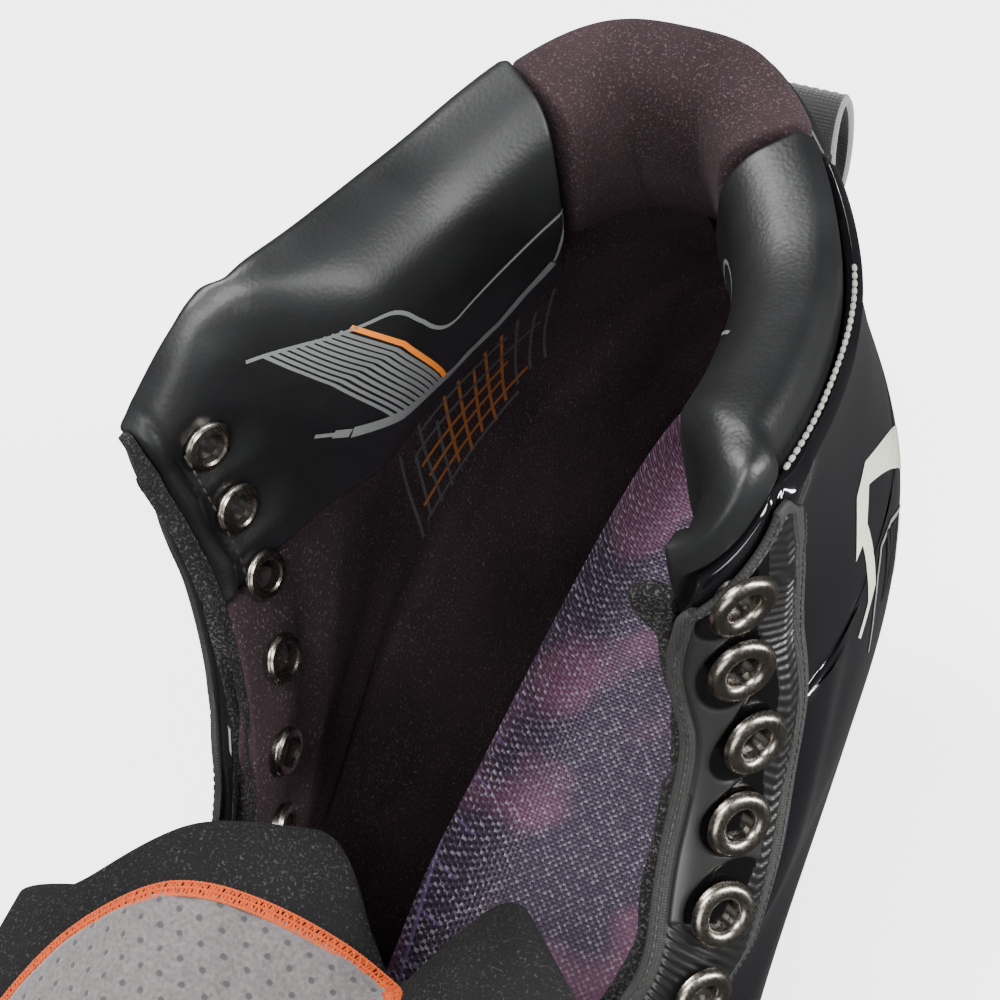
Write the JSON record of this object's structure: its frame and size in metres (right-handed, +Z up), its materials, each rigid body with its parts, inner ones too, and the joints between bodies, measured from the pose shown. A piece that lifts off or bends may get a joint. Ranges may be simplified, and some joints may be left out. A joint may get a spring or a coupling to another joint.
{
  "type": "ice hockey skate",
  "caption": "Left hockey skate boot with padded ankle collar, open tongue, footbed, blade holder and steel runner.",
  "frame": {"origin": "the middle of the runner's flat contact facet, on the ice", "axes": "+Z up from the ice, +Y from toe to heel, +X towards the outer (lateral) side of the left foot"},
  "size_m": [0.1128, 0.293, 0.2307],
  "materials": {
    "shell": "glossy moulded black with a pale stripe",
    "facing": "satin moulded, ribbed",
    "felt": "dense black felt",
    "liner": "brushed microfibre pile",
    "pad_leather": "smooth synthetic leather, satin",
    "collar_fabric": "brushed dark fabric",
    "footbed_cover": "woven mesh with a metallic thread",
    "comfort_mesh": "perforated brushed foam panel, sewn round",
    "webbing": "tight black webbing",
    "eyelet_metal": "pewter plated",
    "fastener": "plain steel",
    "sole": "hard composite",
    "board": "fibre board",
    "holder": "moulded nylon, off-white",
    "blade_steel": "ground and polished steel"
  },
  "bodies": {
    "boot": {"outsole": "sole", "insole_board": "board", "toe_cap": "shell", "toe_lining": "felt", "heel_counter": "shell", "tongue_base": "felt", "quarter_lateral": "shell", "facing_lateral": "facing", "liner_lateral": "liner", "ankle_pad_lateral": "pad_leather", "quarter_medial": "shell", "facing_medial": "facing", "liner_medial": "liner", "ankle_pad_medial": "pad_leather", "eyelet_lateral_01": "eyelet_metal", "eyelet_lateral_02": "eyelet_metal", "eyelet_lateral_03": "eyelet_metal", "eyelet_lateral_04": "eyelet_metal", "eyelet_lateral_05": "eyelet_metal", "eyelet_lateral_06": "eyelet_metal", "eyelet_lateral_07": "eyelet_metal", "eyelet_lateral_08": "eyelet_metal", "eyelet_lateral_09": "eyelet_metal", "eyelet_lateral_10": "eyelet_metal", "eyelet_lateral_11": "eyelet_metal", "eyelet_medial_01": "eyelet_metal", "eyelet_medial_02": "eyelet_metal", "eyelet_medial_03": "eyelet_metal", "eyelet_medial_04": "eyelet_metal", "eyelet_medial_05": "eyelet_metal", "eyelet_medial_06": "eyelet_metal", "eyelet_medial_07": "eyelet_metal", "eyelet_medial_08": "eyelet_metal", "eyelet_medial_09": "eyelet_metal", "eyelet_medial_10": "eyelet_metal", "eyelet_medial_11": "eyelet_metal", "blade_holder": "holder", "runner": "blade_steel", "runner_bolt_front": "fastener", "runner_nut_front": "fastener", "runner_bolt_rear": "fastener", "runner_nut_rear": "fastener", "rivet_1": "fastener", "rivet_2": "fastener", "rivet_3": "fastener", "rivet_4": "fastener", "rivet_5": "fastener", "rivet_6": "fastener", "rivet_7": "fastener", "rivet_8": "fastener"},
    "tongue": {"tongue_felt": "felt", "tongue_comfort_panel": "comfort_mesh", "tongue_lace_guard": "facing"},
    "footbed": {"footbed": "footbed_cover"},
    "tendon_guard": {"tendon_guard_shell": "shell", "tendon_guard_lining": "collar_fabric"},
    "pull_loop": {"pull_loop": "webbing"}
  },
  "joints": [
    {"name": "tongue_fold", "type": "hinge", "parent": "boot", "child": "tongue", "pos_m": [-0.003, -0.031, 0.143], "axis": [-1, 0, 0], "range_deg": [0, 36]},
    {"name": "footbed_lift", "type": "hinge", "parent": "boot", "child": "footbed", "pos_m": [0.002, -0.139, 0.069], "axis": [1, 0, 0], "range_deg": [0, 9]},
    {"name": "tendon_guard_flex", "type": "hinge", "parent": "boot", "child": "tendon_guard", "pos_m": [0, 0.1175, 0.1755], "axis": [-1, 0, 0], "range_deg": [0, 8], "stiffness_Nm_per_rad": 8},
    {"name": "pull_loop_swing", "type": "hinge", "parent": "boot", "child": "pull_loop", "pos_m": [0.007, 0.1315, 0.1465], "axis": [-1, 0, 0], "range_deg": [0, 35], "stiffness_Nm_per_rad": 0.02}
  ]
}
